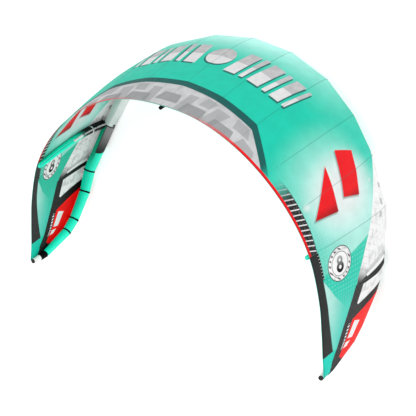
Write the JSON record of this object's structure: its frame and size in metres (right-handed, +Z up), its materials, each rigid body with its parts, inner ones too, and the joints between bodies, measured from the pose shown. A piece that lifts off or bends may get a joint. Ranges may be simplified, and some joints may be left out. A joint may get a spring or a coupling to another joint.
{
  "type": "kitesurfing kite",
  "caption": "Inflatable kitesurfing kite: curved cloth canopy on a segmented air-filled leading edge tube with air-filled struts, tapered wing tips and inflation hoses.",
  "frame": {"origin": "middle of the kite's footprint on the ground, at ground height", "axes": "+X towards the kite's right wing tip, +Y towards its back (the outer, upper side in flight), +Z up with the trailing edge on top"},
  "size_m": [3.8162, 2.8754, 1.5719],
  "materials": {
    "canopy_cloth": "thin coated ripstop cloth, printed, slight sheen",
    "tube_cloth": "coated polyester cloth, smooth, slight gloss",
    "black_cloth": "black coated polyester cloth, satin",
    "charcoal_cloth": "dark grey coated polyester cloth, matt",
    "white_cloth": "white coated polyester cloth, satin",
    "binding_tape": "woven edge tape, matt",
    "hose_tube": "soft grey plastic hose, satin",
    "connector_plastic": "white moulded plastic, satin",
    "plug_plastic": "black moulded plastic, satin"
  },
  "bodies": {
    "root": {"canopy_1_left": "canopy_cloth", "canopy_1_right": "canopy_cloth", "canopy_2_left": "canopy_cloth", "canopy_2_right": "canopy_cloth", "canopy_3_left": "canopy_cloth", "canopy_3_right": "canopy_cloth", "canopy_4_left": "canopy_cloth", "canopy_4_right": "canopy_cloth", "canopy_5_left": "canopy_cloth", "canopy_5_right": "canopy_cloth", "canopy_tip_left": "canopy_cloth", "canopy_tip_right": "canopy_cloth", "hose_connector_left": "connector_plastic", "hose_connector_middle": "connector_plastic", "hose_connector_right": "connector_plastic", "hose_left": "hose_tube", "hose_middle": "hose_tube", "hose_right": "hose_tube", "le_tube_10_left": "tube_cloth", "le_tube_10_right": "tube_cloth", "le_tube_1_left": "tube_cloth", "le_tube_1_right": "tube_cloth", "le_tube_2_left": "tube_cloth", "le_tube_2_right": "tube_cloth", "le_tube_3_left": "tube_cloth", "le_tube_3_right": "tube_cloth", "le_tube_4_left": "tube_cloth", "le_tube_4_right": "tube_cloth", "le_tube_5_left": "tube_cloth", "le_tube_5_right": "tube_cloth", "le_tube_6_left": "tube_cloth", "le_tube_6_right": "tube_cloth", "le_tube_7_left": "tube_cloth", "le_tube_7_right": "tube_cloth", "le_tube_8_left": "tube_cloth", "le_tube_8_right": "tube_cloth", "le_tube_9_left": "tube_cloth", "le_tube_9_right": "tube_cloth", "scuff_patch_left": "charcoal_cloth", "scuff_patch_right": "charcoal_cloth", "strut_end_left": "tube_cloth", "strut_end_middle": "black_cloth", "strut_end_right": "tube_cloth", "strut_sleeve_left": "black_cloth", "strut_sleeve_middle": "black_cloth", "strut_sleeve_right": "black_cloth", "strut_tube_left": "tube_cloth", "strut_tube_middle": "tube_cloth", "strut_tube_right": "tube_cloth", "te_binding_left": "binding_tape", "te_binding_right": "binding_tape", "tip_cone_left": "white_cloth", "tip_cone_right": "white_cloth", "tip_cuff_left": "black_cloth", "tip_cuff_right": "black_cloth", "tip_dacron_left": "charcoal_cloth", "tip_dacron_right": "charcoal_cloth", "tip_plug_left": "plug_plastic", "tip_plug_right": "plug_plastic"}
  },
  "joints": []
}
